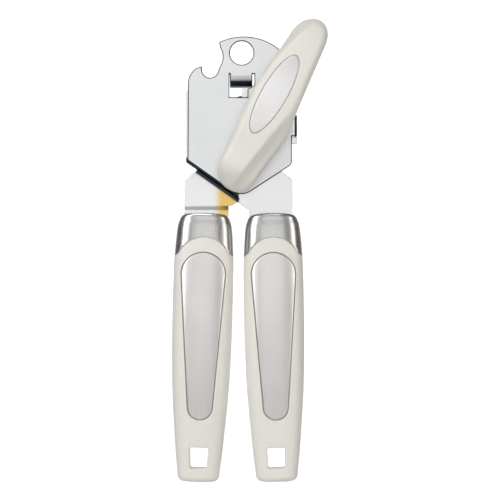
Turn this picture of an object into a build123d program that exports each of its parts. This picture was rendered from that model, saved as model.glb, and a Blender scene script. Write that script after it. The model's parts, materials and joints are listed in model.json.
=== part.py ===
"""Two-handled manual can opener, hung upright by the round hole in its head plate.

Units are millimetres.  The origin is the centre of the hanging hole at the front face of the
head plate.  +X is to the right of somebody facing the turning knob, +Y goes to the back, where the
cutter is, and +Z is up.  All plates lie in XZ planes, so "front" is a small y and "back" a large y.
"""
import os
from math import atan2, cos, hypot, radians, sin

from build123d import *

# ---------------------------------------------------------------- driving dimensions
PLATE_T = 1.5                 # thickness of the three steel plates
PLATE_GAP = 0.1               # air between two neighbouring plates
FIT = 0.05                    # radial clearance of a running fit
SNUG = 0.02                   # radial clearance of parts that are pressed or staked together

FRONT_BACK_Y = PLATE_T                              # back faces of the three plates
MIDDLE_BACK_Y = FRONT_BACK_Y + PLATE_GAP + PLATE_T
REAR_BACK_Y = MIDDLE_BACK_Y + PLATE_GAP + PLATE_T
MIDDLE_Y = MIDDLE_BACK_Y - PLATE_T / 2              # mid-plane of the levers' arms and handles

PIVOT = (-0.5, -56.5)         # x, z of the rivet that the levers turn on
PIVOT_R = 3.0
SHAFT = (15.6, -25.0)         # x, z of the drive shaft
SHAFT_R = 3.0
CUTTER = (0.6, -27.0)         # x, z of the cutter's stud
CUTTER_R = 8.2
FEED_R = 7.4
FEED_TEETH = 24

HANG_R = 5.35                 # hanging hole
HEAD_ARC_CENTRE = (0.9, -18.5)
HEAD_ARC_R = 26.0
HEAD_RIGHT_X = 22.9
HEAD_LEFT_X = -24.7
HEAD_TIP = (-0.4, -66.0)      # where the two lower edges would meet, before rounding
HEAD_TIP_R = 7.9

TANG_W = 14.0                 # strip of each lever inside its handle
TANG_LENGTH = 68.0
HANDLE_TOP_Z = -74.4
ARM_END_Z = HANDLE_TOP_Z - 0.5
LEFT_AXIS = ((-16.72, HANDLE_TOP_Z), (-19.9, -195.7))
RIGHT_AXIS = ((14.01, HANDLE_TOP_Z), (16.1, -195.7))
# distance down the handle, full width, full thickness
HANDLE_SECTIONS = [
    (0.0, 20.4, 8.6), (0.7, 22.0, 10.6), (2.2, 23.4, 12.0), (5.0, 24.7, 13.2), (11.0, 25.9, 14.3),
    (18.0, 26.9, 15.0), (25.0, 27.3, 15.5), (38.0, 27.5, 16.3), (52.0, 27.4, 16.8),
    (70.0, 26.7, 16.6), (85.0, 25.2, 15.8), (96.0, 23.5, 14.6), (107.0, 21.6, 13.2),
    (116.0, 19.6, 12.0), (119.6, 17.8, 10.8), (121.3, 14.4, 8.4),
]
FERRULE_T = 0.6
FERRULE_SIDE = 18.6           # how far the ferrule reaches down each side
FERRULE_CROWN = 9.9           # and at the middle of the front and the back
INLAY_TOP, INLAY_TOP_R = 16.6, 10.35
INLAY_BOTTOM, INLAY_BOTTOM_R = 93.1, 5.9
INLAY_T = 0.8
INLAY_RECESS = 0.2
END_HOLE = (105.6, 115.4)     # hanging hole in each grip, distances down the handle
END_HOLE_W = 8.0
SCREW_AT = (34.0, 56.0)       # screws that hold the grip on the tang

KNOB_TILT = 24.5              # degrees that the knob leans to the right
KNOB_BACK_Y = -8.4
# distance along the knob, middle of its width, width, y of the front face
KNOB_SECTIONS = [
    (-43.0, -2.6, 7.0, -13.2), (-40.0, -3.8, 14.2, -15.6), (-35.0, -3.9, 17.9, -18.2),
    (-25.0, -2.8, 19.5, -21.8), (-10.0, -1.4, 22.7, -24.9), (5.0, -1.3, 21.6, -25.6),
    (20.0, -0.2, 18.7, -24.2), (31.0, 0.9, 16.6, -21.2), (38.5, 1.6, 12.8, -17.6),
    (42.5, 1.6, 7.0, -14.4),
]
KNOB_HUB_R = 8.0
BADGE_CENTRE = (3.5, -2.6)    # oval steel badge: along and across the knob
BADGE_SIZE = (39.8, 11.6)
BADGE_TURN = 5.5              # degrees that the badge leans beyond the knob
BADGE_T = 0.8

FAR_FRONT_Y = -20.0           # in front of every grip
THROUGH = 45.0                # length of a cut that goes right through a handle

FLANGE_Y = -1.2               # front of the bushing's flange
FEED_Y = (5.4, 8.4)           # the feed wheel's faces
CUTTER_Y = (8.8, 10.2)        # the cutter's faces


def facing(back_y):
    """The sketching plane whose x is +X and whose y is +Z, extruding forwards from back_y."""
    return Plane.XZ.offset(-back_y)


def axis_plane(centre, y):
    """A plane across a shaft at x, z = centre, whose positive normal goes to the back."""
    return Plane(origin=(centre[0], y, centre[1]), x_dir=(1, 0, 0), z_dir=(0, 1, 0))


def export(part, name):
    part.label = name
    export_step(part, f"parts/{name}.step")


def disc(centre, r, y0, y1):
    """A plain cylinder along Y from y0 to y1."""
    with BuildPart() as cylinder:
        with BuildSketch(axis_plane(centre, y0)):
            Circle(r)
        extrude(amount=y1 - y0)
    return cylinder.part


os.makedirs("parts", exist_ok=True)


# ---------------------------------------------------------------- front plate
WINDOW_TOP, WINDOW_BOTTOM = -9.6, -20.2
WINDOW_LEFT, WINDOW_RIGHT = -5.6, 5.8
GUIDE_LEFT, GUIDE_RIGHT = -5.4, 4.9
GUIDE_R = 5.4                 # outer radius of the rim guide's bend
GUIDE_BACK_Y = 11.0
HOOK_R = 2.4                  # outer radius of the bend at the plate's right edge
HOOK_Z = (-38.0, -28.3)
TENON_Z = (-41.3, -38.1)

arc_left_x = -10.4
arc_left_z = HEAD_ARC_CENTRE[1] + (HEAD_ARC_R**2 - (arc_left_x - HEAD_ARC_CENTRE[0]) ** 2) ** 0.5
arc_right_z = HEAD_ARC_CENTRE[1] + (HEAD_ARC_R**2 - (HEAD_RIGHT_X - HEAD_ARC_CENTRE[0]) ** 2) ** 0.5
beak = (arc_left_x, arc_left_z)
opener_tip = (-18.1, -6.0)
knee = (-9.7, 2.1)
left_corner = (HEAD_LEFT_X, -48.9)
right_corner = (HEAD_RIGHT_X, -50.9)

with BuildPart() as front_plate:
    with BuildSketch(facing(FRONT_BACK_Y)) as head_outline:
        with BuildLine():
            top = ThreePointArc(beak, (0.9, HEAD_ARC_CENTRE[1] + HEAD_ARC_R), (HEAD_RIGHT_X, arc_right_z))
            Polyline(top @ 1, right_corner, HEAD_TIP, left_corner, (HEAD_LEFT_X + 0.2, -12.8))
            shoulder = ThreePointArc((HEAD_LEFT_X + 0.2, -12.8), (-23.5, -9.9), (-20.9, -7.0))
            Line(shoulder @ 1, opener_tip)
            Line(opener_tip, (-18.1, -7.7))
            throat = ThreePointArc((-18.1, -7.7), (-14.4, -11.3), (-10.8, -8.5))
            Line(throat @ 1, (-9.9, -6.0))
            ThreePointArc((-9.9, -6.0), (-8.7, -1.2), knee)
            Line(knee, beak)
        make_face()
        lowest = head_outline.vertices().sort_by(Axis.Y)[0]
        fillet(lowest, HEAD_TIP_R)
        fillet(head_outline.vertices().sort_by_distance((*right_corner, 0))[0], 2.6)
        fillet(head_outline.vertices().sort_by_distance((*left_corner, 0))[0], 0.8)
        Circle(HANG_R, mode=Mode.SUBTRACT)
        with BuildLine():
            Polyline(
                (WINDOW_LEFT, WINDOW_TOP), (WINDOW_RIGHT, WINDOW_TOP), (WINDOW_RIGHT, -14.6),
                (GUIDE_RIGHT + 0.1, -15.3), (2.7, -16.4), (2.7, WINDOW_BOTTOM),
                (WINDOW_LEFT, WINDOW_BOTTOM), close=True,
            )
        make_face(mode=Mode.SUBTRACT)
        with Locations(SHAFT):
            Circle(5.0 + SNUG, mode=Mode.SUBTRACT)
        with Locations(PIVOT):
            Circle(PIVOT_R + SNUG, mode=Mode.SUBTRACT)
    extrude(amount=PLATE_T)
    # rim guide: the window's tongue, curled to the back
    with BuildSketch(Plane.YZ.offset(GUIDE_LEFT)):
        with BuildLine():
            Polyline((0, WINDOW_TOP + 0.4), (0, WINDOW_TOP - 0.2))
            bend_z = WINDOW_TOP - 0.2
            ThreePointArc(
                (0, bend_z),
                (GUIDE_R * (1 - cos(radians(45))), bend_z - GUIDE_R * sin(radians(45))),
                (GUIDE_R, bend_z - GUIDE_R),
            )
            Polyline(
                (GUIDE_R, bend_z - GUIDE_R), (GUIDE_BACK_Y, bend_z - GUIDE_R),
                (GUIDE_BACK_Y, bend_z - GUIDE_R + PLATE_T), (GUIDE_R, bend_z - GUIDE_R + PLATE_T),
            )
            guide_inner = GUIDE_R - PLATE_T
            ThreePointArc(
                (GUIDE_R, bend_z - guide_inner),
                (GUIDE_R - guide_inner * cos(radians(45)), bend_z - guide_inner * sin(radians(45))),
                (PLATE_T, bend_z),
            )
            Polyline((PLATE_T, bend_z), (PLATE_T, WINDOW_TOP + 0.4), (0, WINDOW_TOP + 0.4))
        make_face()
    extrude(amount=GUIDE_RIGHT - GUIDE_LEFT)
    # side hook: the right edge folded to the back, where the rear lever's edge is staked to it
    with BuildSketch(Plane.XY.offset(HOOK_Z[0])):
        with BuildLine():
            hook_x = HEAD_RIGHT_X + HOOK_R
            hook_inner = HOOK_R - PLATE_T
            hook_back = REAR_BACK_Y + 0.7
            Line((HEAD_RIGHT_X - 0.3, 0), (HEAD_RIGHT_X, 0))
            ThreePointArc(
                (HEAD_RIGHT_X, 0),
                (HEAD_RIGHT_X + HOOK_R * sin(radians(45)), HOOK_R * (1 - cos(radians(45)))),
                (hook_x, HOOK_R),
            )
            Polyline((hook_x, HOOK_R), (hook_x, hook_back), (hook_x - PLATE_T, hook_back),
                     (hook_x - PLATE_T, HOOK_R))
            ThreePointArc(
                (hook_x - PLATE_T, HOOK_R),
                (HEAD_RIGHT_X + hook_inner * sin(radians(45)), HOOK_R - hook_inner * cos(radians(45))),
                (HEAD_RIGHT_X, PLATE_T),
            )
            Polyline((HEAD_RIGHT_X, PLATE_T), (HEAD_RIGHT_X - 0.3, PLATE_T), (HEAD_RIGHT_X - 0.3, 0))
        make_face()
    extrude(amount=HOOK_Z[1] - HOOK_Z[0])
export(front_plate.part, "front_plate")


# ---------------------------------------------------------------- handles
def handle_plane(axis):
    """Origin at the middle of the handle's top, x across it, y to the front, z down along it."""
    (x0, z0), (x1, z1) = axis
    run = hypot(x1 - x0, z1 - z0)
    down = ((x1 - x0) / run, (z1 - z0) / run)
    return Plane(origin=(x0, MIDDLE_Y, z0), x_dir=(-down[1], 0, down[0]), z_dir=(down[0], 0, down[1]))


def handle_loft(base, sections, inset=0.0):
    """Loft through rounded rectangles; inset makes every section that much smaller all round."""
    with BuildPart() as loft_part:
        for distance, width, thickness in sections:
            with BuildSketch(base.offset(distance)):
                w, t = width - 2 * inset, thickness - 2 * inset
                RectangleRounded(w, t, 0.46 * t)
        loft()
    return loft_part.part


def side_view(base, y):
    """Plane parallel to the plates at depth y, its x across the handle and its y down along it."""
    origin = base.origin + Vector(0, y - base.origin.Y, 0)
    return Plane(origin=origin, x_dir=base.x_dir, z_dir=(0, 1, 0))


def ferrule_zone(base, lower=0.0):
    """Everything above the ferrule's scalloped lower edge."""
    with BuildPart() as zone:
        with BuildSketch(side_view(base, FAR_FRONT_Y)):
            with BuildLine():
                half = 16.0
                side = FERRULE_SIDE + lower
                crown = FERRULE_CROWN + lower
                Polyline((-half, side), (-half, -5), (half, -5), (half, side))
                ThreePointArc((-half, side), (-13.4, side - 0.6), (-11.0, side - 2.0))
                ThreePointArc((-11.0, side - 2.0), (0, crown), (11.0, side - 2.0))
                ThreePointArc((11.0, side - 2.0), (13.4, side - 0.6), (half, side))
            make_face()
        extrude(amount=THROUGH)
    return zone.part


def inlay_prism(base, shrink=0.0):
    """Column in front of the handle's mid-plane with the inlay's outline, made smaller by shrink."""
    with BuildPart() as column:
        with BuildSketch(side_view(base, FAR_FRONT_Y)):
            with BuildLine():
                r0, r1 = INLAY_TOP_R - shrink, INLAY_BOTTOM_R - shrink
                z0, z1 = INLAY_TOP + INLAY_TOP_R, INLAY_BOTTOM - INLAY_BOTTOM_R
                ThreePointArc((-r0, z0), (0, z0 - r0), (r0, z0))
                Line((r0, z0), (r1, z1))
                ThreePointArc((r1, z1), (0, z1 + r1), (-r1, z1))
                Line((-r1, z1), (-r0, z0))
            make_face()
        extrude(amount=MIDDLE_Y - FAR_FRONT_Y)
    return column.part


def tang_outline(length, grow=0.0):
    """Sketch of the tang in a side view: a strip with a tapered end."""
    half = TANG_W / 2 + grow
    end = length + grow
    return Polyline((-half, -0.6), (half, -0.6), (half, end - 3), (half - 3, end), (3 - half, end),
                    (-half, end - 3), close=True)


def tang_slot(base):
    with BuildPart() as slot:
        with BuildSketch(side_view(base, MIDDLE_Y - PLATE_T / 2 - PLATE_GAP / 2)):
            with BuildLine():
                tang_outline(TANG_LENGTH, 0.1)
            make_face()
        extrude(amount=PLATE_T + PLATE_GAP)
    return slot.part


def below_shoulders(base):
    """The space beside the tang under the ferrule's top face, cut off the end of a lever's arm."""
    with BuildPart() as space:
        with BuildSketch(base.offset(-0.03)):
            with Locations((-TANG_W, 0), (TANG_W, 0)):
                Rectangle(TANG_W, 12)
        extrude(amount=4)
    return space.part


def screw_holes(base, r, y0, y1):
    with BuildPart() as holes:
        with BuildSketch(side_view(base, y0)):
            with Locations(*[(0, at) for at in SCREW_AT]):
                Circle(r)
        extrude(amount=y1 - y0)
    return holes.part


def end_hole(base):
    with BuildPart() as hole:
        with BuildSketch(side_view(base, FAR_FRONT_Y)) as outline:
            with Locations((0, sum(END_HOLE) / 2)):
                Trapezoid(END_HOLE_W, END_HOLE[1] - END_HOLE[0], 88, rotation=180)
            fillet(outline.vertices(), 0.8)
        extrude(amount=THROUGH)
    return hole.part


def make_handle(side, axis):
    """Ferrule, grip, inlay and tang screws of one handle."""
    base = handle_plane(axis)
    blank = handle_loft(base, HANDLE_SECTIONS)
    neck = handle_loft(base, HANDLE_SECTIONS[1:7], FERRULE_T + 0.05)
    zone = ferrule_zone(base)
    slot = tang_slot(base)
    recess = inlay_prism(base) - blank.moved(Location((0, INLAY_T + INLAY_RECESS, 0)))
    screw_y = MIDDLE_Y + PLATE_T / 2
    head_y = -2.4

    with BuildPart() as ferrule:
        add(blank)
        add(zone, mode=Mode.INTERSECT)
        add(handle_loft(base, HANDLE_SECTIONS[1:7], FERRULE_T), mode=Mode.SUBTRACT)
        add(slot, mode=Mode.SUBTRACT)
    export(ferrule.part, f"{side}_ferrule")

    with BuildPart() as grip:
        add(blank)
        add(ferrule_zone(base, 0.05), mode=Mode.SUBTRACT)
        add(neck)
        add(slot, mode=Mode.SUBTRACT)
        add(recess, mode=Mode.SUBTRACT)
        add(end_hole(base), mode=Mode.SUBTRACT)
        add(screw_holes(base, 1.6 + SNUG, -12, screw_y + 4.2), mode=Mode.SUBTRACT)
        add(screw_holes(base, 2.8 + SNUG, -12, head_y + 0.02), mode=Mode.SUBTRACT)
    export(grip.part, f"{side}_grip")

    with BuildPart() as inlay:
        add(inlay_prism(base, 0.3))
        add(blank.moved(Location((0, INLAY_RECESS, 0))), mode=Mode.INTERSECT)
        add(blank.moved(Location((0, INLAY_T + INLAY_RECESS - 0.02, 0))), mode=Mode.SUBTRACT)
    export(inlay.part, f"{side}_inlay")

    with BuildPart() as screws:
        add(screw_holes(base, 1.6, head_y, screw_y + 4.0))
        add(screw_holes(base, 2.8, head_y - 1.4, head_y))
    export(screws.part, f"{side}_tang_screws")


# ---------------------------------------------------------------- left lever (rear plate)
JOGGLE_TOP_Z, JOGGLE_BOTTOM_Z = -69.7, -71.8
LEFT_ARM_X = (-26.1, -6.0)
left_base = handle_plane(LEFT_AXIS)

with BuildPart() as left_lever:
    with BuildSketch(facing(REAR_BACK_Y)) as lever_outline:
        with BuildLine():
            Polyline((-4.4, -69.6), (-1.7, -67.7), (4.0, -62.8), (22.2, -50.5), (22.2, TENON_Z[0]),
                     (25.3, TENON_Z[0]), (25.3, TENON_Z[1]), (22.2, TENON_Z[1]), (22.2, -19.5),
                     (18.2, -15.5), (0.1, -15.5), (0.1, -21.0), (2.0, -21.7))
            clear = ThreePointArc((2.0, -21.7), (6.0, -26.2), (5.4, -32.2))
            Polyline(clear @ 1, (-6.5, -35.2), (-17.0, -43.0), (-21.1, -54.1), (-22.9, -54.9),
                     (LEFT_ARM_X[0], -58.4), (LEFT_ARM_X[0], JOGGLE_TOP_Z), (LEFT_ARM_X[1], JOGGLE_TOP_Z),
                     (-4.4, -69.6))
        make_face()
        with Locations(SHAFT):
            Circle(5.0 + SNUG, mode=Mode.SUBTRACT)
        with Locations(PIVOT):
            Circle(PIVOT_R + SNUG, mode=Mode.SUBTRACT)
    extrude(amount=PLATE_T)
    # the arm steps forwards into the plane of the other lever
    with BuildSketch(Plane.YZ.offset(LEFT_ARM_X[0])):
        with BuildLine():
            Polyline(
                (REAR_BACK_Y, JOGGLE_TOP_Z + 0.5), (REAR_BACK_Y, JOGGLE_TOP_Z - 0.4),
                (MIDDLE_BACK_Y, JOGGLE_BOTTOM_Z - 0.4), (MIDDLE_BACK_Y, ARM_END_Z),
                (MIDDLE_BACK_Y - PLATE_T, ARM_END_Z), (MIDDLE_BACK_Y - PLATE_T, JOGGLE_BOTTOM_Z),
                (REAR_BACK_Y - PLATE_T, JOGGLE_TOP_Z), (REAR_BACK_Y - PLATE_T, JOGGLE_TOP_Z + 0.5),
                close=True,
            )
        make_face()
    extrude(amount=LEFT_ARM_X[1] - LEFT_ARM_X[0])
    add(below_shoulders(left_base), mode=Mode.SUBTRACT)
    with BuildSketch(side_view(left_base, MIDDLE_Y - PLATE_T / 2)):
        with BuildLine():
            tang_outline(TANG_LENGTH)
        make_face()
        with Locations(*[(0, at) for at in SCREW_AT]):
            Circle(1.6 + SNUG, mode=Mode.SUBTRACT)
    extrude(amount=PLATE_T)
export(left_lever.part, "left_lever")


# ---------------------------------------------------------------- right lever (middle plate)
RIGHT_ARM_X = (3.6, 23.2)
STOP_INNER, STOP_OUTER = 1.15, 2.5      # the stop flange's faces, outside the head's lower edge
STOP_START, STOP_LENGTH = 6.2, 23.4
right_base = handle_plane(RIGHT_AXIS)
edge_angle = atan2(left_corner[1] - HEAD_TIP[1], left_corner[0] - HEAD_TIP[0])
along = (-cos(edge_angle), -sin(edge_angle))        # down the head's lower left edge
outward = (along[1], -along[0])                     # away from the plate


def beside_edge(distance, offset):
    """x, z of a point that far down the head's lower left edge and that far outside it."""
    return tuple(c + distance * a + offset * o for c, a, o in zip(left_corner, along, outward))


with BuildPart() as right_lever:
    with BuildSketch(facing(MIDDLE_BACK_Y)):
        with BuildLine():
            Polyline(
                (RIGHT_ARM_X[0], ARM_END_Z), (RIGHT_ARM_X[1], ARM_END_Z),
                (RIGHT_ARM_X[1], -58.4), (22.2, -56.9), (19.3, -55.0), (9.5, -46.5), (7.1, -38.0),
                (7.1, -27.0),
            )
            ThreePointArc((7.1, -27.0), (5.2, -22.4), (0.6, -20.5))
            Polyline(
                (0.6, -20.5), (-7.0, -21.2), (-23.6, -15.8), (-25.4, -17.8), (-25.4, -49.6),
                beside_edge(0.3, STOP_INNER), beside_edge(STOP_START, STOP_INNER),
                beside_edge(STOP_START, STOP_OUTER),
                beside_edge(STOP_START + STOP_LENGTH + 5.6, STOP_OUTER),
                (RIGHT_ARM_X[0], -71.6), (RIGHT_ARM_X[0], ARM_END_Z),
            )
        make_face()
        with Locations(CUTTER):
            Circle(3.0 + SNUG, mode=Mode.SUBTRACT)
        with Locations(PIVOT):
            Circle(PIVOT_R + FIT, mode=Mode.SUBTRACT)
    extrude(amount=PLATE_T)
    # upturned flange that meets the head's lower edge when the handles are closed
    stop_x, stop_z = beside_edge(STOP_START, 0)
    flange_plane = Plane(
        origin=(stop_x, 0, stop_z), x_dir=(outward[0], 0, outward[1]), z_dir=(along[0], 0, along[1])
    )
    with BuildSketch(flange_plane):
        y_sign = flange_plane.y_dir.Y
        web_front, web_back = y_sign * (MIDDLE_BACK_Y - PLATE_T), y_sign * MIDDLE_BACK_Y
        with BuildLine():
            Polyline((STOP_OUTER, web_back), (STOP_OUTER, 0), (STOP_INNER, 0), (STOP_INNER, y_sign * 0.7))
            ThreePointArc((STOP_INNER, y_sign * 0.7), (0.88, y_sign * 1.34), (0.25, web_front))
            Polyline((0.25, web_front), (-0.3, web_front), (-0.3, web_back), (STOP_OUTER, web_back))
        make_face()
    extrude(amount=STOP_LENGTH)
    add(below_shoulders(right_base), mode=Mode.SUBTRACT)
    with BuildSketch(side_view(right_base, MIDDLE_Y - PLATE_T / 2)):
        with BuildLine():
            tang_outline(TANG_LENGTH)
        make_face()
        with Locations(*[(0, at) for at in SCREW_AT]):
            Circle(1.6 + SNUG, mode=Mode.SUBTRACT)
    extrude(amount=PLATE_T)
export(right_lever.part, "right_lever")

make_handle("left", LEFT_AXIS)
make_handle("right", RIGHT_AXIS)


# ---------------------------------------------------------------- turned parts on the levers
def turned(centre, profile):
    """Revolve a closed (radius, y) outline round a shaft at x, z = centre."""
    with BuildPart() as piece:
        with BuildSketch(Plane(origin=(centre[0], 0, centre[1]), x_dir=(1, 0, 0), z_dir=(0, 0, 1))):
            with BuildLine():
                Polyline(*profile, close=True)
            make_face()
        revolve(axis=Axis((centre[0], 0, centre[1]), (0, 1, 0)))
    return piece.part


def washer(centre, r_in, r_out, y0, y1):
    edge = 0.15
    return turned(centre, [(r_in, y0), (r_out - edge, y0), (r_out, y0 + edge),
                           (r_out, y1 - edge), (r_out - edge, y1), (r_in, y1)])


PIVOT_WASHER_Y = (REAR_BACK_Y, REAR_BACK_Y + 0.8)
pivot_rivet = turned(PIVOT, [
    (0, -1.1), (2.6, -1.1), (4.2, -0.7), (4.6, 0), (PIVOT_R, 0), (PIVOT_R, PIVOT_WASHER_Y[1]),
    (4.4, PIVOT_WASHER_Y[1]), (4.1, PIVOT_WASHER_Y[1] + 0.8), (2.6, PIVOT_WASHER_Y[1] + 1.3),
    (0, PIVOT_WASHER_Y[1] + 1.4),
])
export(pivot_rivet, "pivot_rivet")
export(washer(PIVOT, PIVOT_R + SNUG, 6.0, *PIVOT_WASHER_Y), "pivot_washer")

shaft_bushing = turned(SHAFT, [
    (SHAFT_R + FIT, FLANGE_Y), (6.8, FLANGE_Y), (7.0, FLANGE_Y + 0.2), (7.0, 0), (5.0, 0),
    (5.0, FRONT_BACK_Y), (6.0, FRONT_BACK_Y), (6.0, REAR_BACK_Y - PLATE_T),
    (5.0, REAR_BACK_Y - PLATE_T), (5.0, REAR_BACK_Y + 0.3), (SHAFT_R + FIT, REAR_BACK_Y + 0.3),
])
export(shaft_bushing, "shaft_bushing")

CUTTER_WASHER_Y = (CUTTER_Y[1] + 0.05, CUTTER_Y[1] + 0.65)
cutter_stud = turned(CUTTER, [
    (0, MIDDLE_BACK_Y - PLATE_T), (3.0, MIDDLE_BACK_Y - PLATE_T), (3.0, MIDDLE_BACK_Y), (3.8, MIDDLE_BACK_Y),
    (3.8, CUTTER_Y[0] - 0.05), (2.6, CUTTER_Y[0] - 0.05), (2.6, CUTTER_WASHER_Y[1] + 0.02),
    (3.7, CUTTER_WASHER_Y[1] + 0.02), (3.5, CUTTER_WASHER_Y[1] + 0.8), (2.2, CUTTER_WASHER_Y[1] + 1.2),
    (0, CUTTER_WASHER_Y[1] + 1.3),
])
export(cutter_stud, "cutter_stud")
export(washer(CUTTER, 2.6 + SNUG, 4.6, *CUTTER_WASHER_Y), "cutter_washer")

cutter_wheel = turned(CUTTER, [
    (2.6 + FIT, CUTTER_Y[0]), (5.4, CUTTER_Y[0]), (CUTTER_R, CUTTER_Y[1] - 0.35),
    (CUTTER_R, CUTTER_Y[1] - 0.15), (6.2, CUTTER_Y[1]), (2.6 + FIT, CUTTER_Y[1]),
])
export(cutter_wheel, "cutter_wheel")


# ---------------------------------------------------------------- drive shaft, feed wheel and nut
THRUST_Y = (REAR_BACK_Y + 0.32, FEED_Y[0] - 0.02)
NUT_Y = (FEED_Y[1] + 0.02, FEED_Y[1] + 2.8)
SHAFT_FRONT_Y = -15.0
FLAT = 2.3                    # half the width across the shaft's driving flats
KNOB_SCREW_R = 1.4


def flatted(r, half_width, y0, y1):
    """A round bar with two flats."""
    with BuildPart() as bar:
        with BuildSketch(axis_plane(SHAFT, y0)):
            Circle(r)
            Rectangle(2 * half_width, 2 * r, mode=Mode.INTERSECT)
        extrude(amount=y1 - y0)
    return bar.part


with BuildPart() as drive_shaft:
    add(turned(SHAFT, [
        (KNOB_SCREW_R + SNUG, -1.9), (SHAFT_R, -1.9), (SHAFT_R, FEED_Y[0] - 0.02), (2.5, FEED_Y[0] - 0.02),
        (2.5, NUT_Y[1] + 0.6), (2.2, NUT_Y[1] + 0.9), (0, NUT_Y[1] + 0.9), (0, -3.0),
        (KNOB_SCREW_R + SNUG, -3.0),
    ]))
    add(flatted(SHAFT_R, FLAT, SHAFT_FRONT_Y, -1.9))
    add(disc(SHAFT, KNOB_SCREW_R + SNUG, SHAFT_FRONT_Y, -4.0), mode=Mode.SUBTRACT)
export(drive_shaft.part, "drive_shaft")
export(washer(SHAFT, SHAFT_R + FIT, 5.4, *THRUST_Y), "thrust_washer")

with BuildPart() as feed_wheel:
    with BuildSketch(axis_plane(SHAFT, FEED_Y[0])):
        Circle(FEED_R)
        with PolarLocations(FEED_R, FEED_TEETH):
            Rectangle(1.1, 1.1, rotation=45, mode=Mode.SUBTRACT)
        Circle(2.5 + SNUG, mode=Mode.SUBTRACT)
    extrude(amount=FEED_Y[1] - FEED_Y[0])
    chamfer(feed_wheel.edges().filter_by(GeomType.CIRCLE).group_by(SortBy.RADIUS)[0], 0.2)
export(feed_wheel.part, "feed_wheel")

with BuildPart() as feed_nut:
    with BuildSketch(axis_plane(SHAFT, NUT_Y[0])):
        RegularPolygon(4.0, 6, major_radius=False)
        Circle(2.5 + SNUG, mode=Mode.SUBTRACT)
    extrude(amount=NUT_Y[1] - NUT_Y[0])
export(feed_nut.part, "feed_nut")


# ---------------------------------------------------------------- turning knob
lean = radians(KNOB_TILT)
knob_plane = Plane(
    origin=(SHAFT[0], 0, SHAFT[1]), x_dir=(cos(lean), 0, -sin(lean)), z_dir=(sin(lean), 0, cos(lean))
)


def knob_blank():
    """The knob's outer form: a bar with a high middle, lofted from end to end."""
    with BuildPart() as bar:
        for distance, middle, width, front_y in KNOB_SECTIONS:
            depth = KNOB_BACK_Y - front_y
            with BuildSketch(knob_plane.offset(distance)):
                with Locations((middle, (KNOB_BACK_Y + front_y) / 2)):
                    RectangleRounded(width, depth, 0.42 * min(width, depth))
        loft()
    return bar.part


def badge_column(grow=0.0):
    """Oval column in front of the knob, for the badge and its recess."""
    turn = radians(KNOB_TILT + BADGE_TURN)
    centre = knob_plane.origin + BADGE_CENTRE[0] * knob_plane.z_dir + BADGE_CENTRE[1] * knob_plane.x_dir
    plane = Plane(origin=(centre.X, -18.0, centre.Z), x_dir=(sin(turn), 0, cos(turn)), z_dir=(0, -1, 0))
    with BuildPart() as column:
        with BuildSketch(plane):
            Ellipse(BADGE_SIZE[0] / 2 + grow, BADGE_SIZE[1] / 2 + grow)
        extrude(amount=12)
    return column.part


blank = knob_blank()
recess = badge_column() - blank.moved(Location((0, BADGE_T + 0.15, 0)))
SCREW_HEAD_Y = -19.0
with BuildPart() as knob:
    add(blank)
    add(disc(SHAFT, KNOB_HUB_R, -1.6 + FLANGE_Y, -14.0))
    add(recess, mode=Mode.SUBTRACT)
    add(flatted(SHAFT_R + SNUG, FLAT + SNUG, SHAFT_FRONT_Y - 0.1, 0), mode=Mode.SUBTRACT)
    add(disc(SHAFT, KNOB_SCREW_R + 0.1, -30, SHAFT_FRONT_Y), mode=Mode.SUBTRACT)
    add(disc(SHAFT, 2.9 + SNUG, -30, SCREW_HEAD_Y), mode=Mode.SUBTRACT)
export(knob.part, "knob")

with BuildPart() as knob_badge:
    add(badge_column(-0.25))
    add(blank.moved(Location((0, 0.1, 0))), mode=Mode.INTERSECT)
    add(blank.moved(Location((0, BADGE_T + 0.13, 0))), mode=Mode.SUBTRACT)
export(knob_badge.part, "knob_badge")

knob_screw = turned(SHAFT, [
    (0, SCREW_HEAD_Y - 2.0), (2.7, SCREW_HEAD_Y - 2.0), (2.9, SCREW_HEAD_Y - 1.6), (2.9, SCREW_HEAD_Y - 0.02),
    (KNOB_SCREW_R, SCREW_HEAD_Y - 0.02), (KNOB_SCREW_R, SHAFT_FRONT_Y + 8.0), (0, SHAFT_FRONT_Y + 8.0),
])
export(knob_screw, "knob_screw")
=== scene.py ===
"""Looks of the two-handled can opener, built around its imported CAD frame.

Everything is in metres in the frame's own axes: +Z up, the knob side faces -Y.
"""
import json
import math

import bmesh
import bpy
import numpy as np
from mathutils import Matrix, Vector
from mathutils.bvhtree import BVHTree


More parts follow.
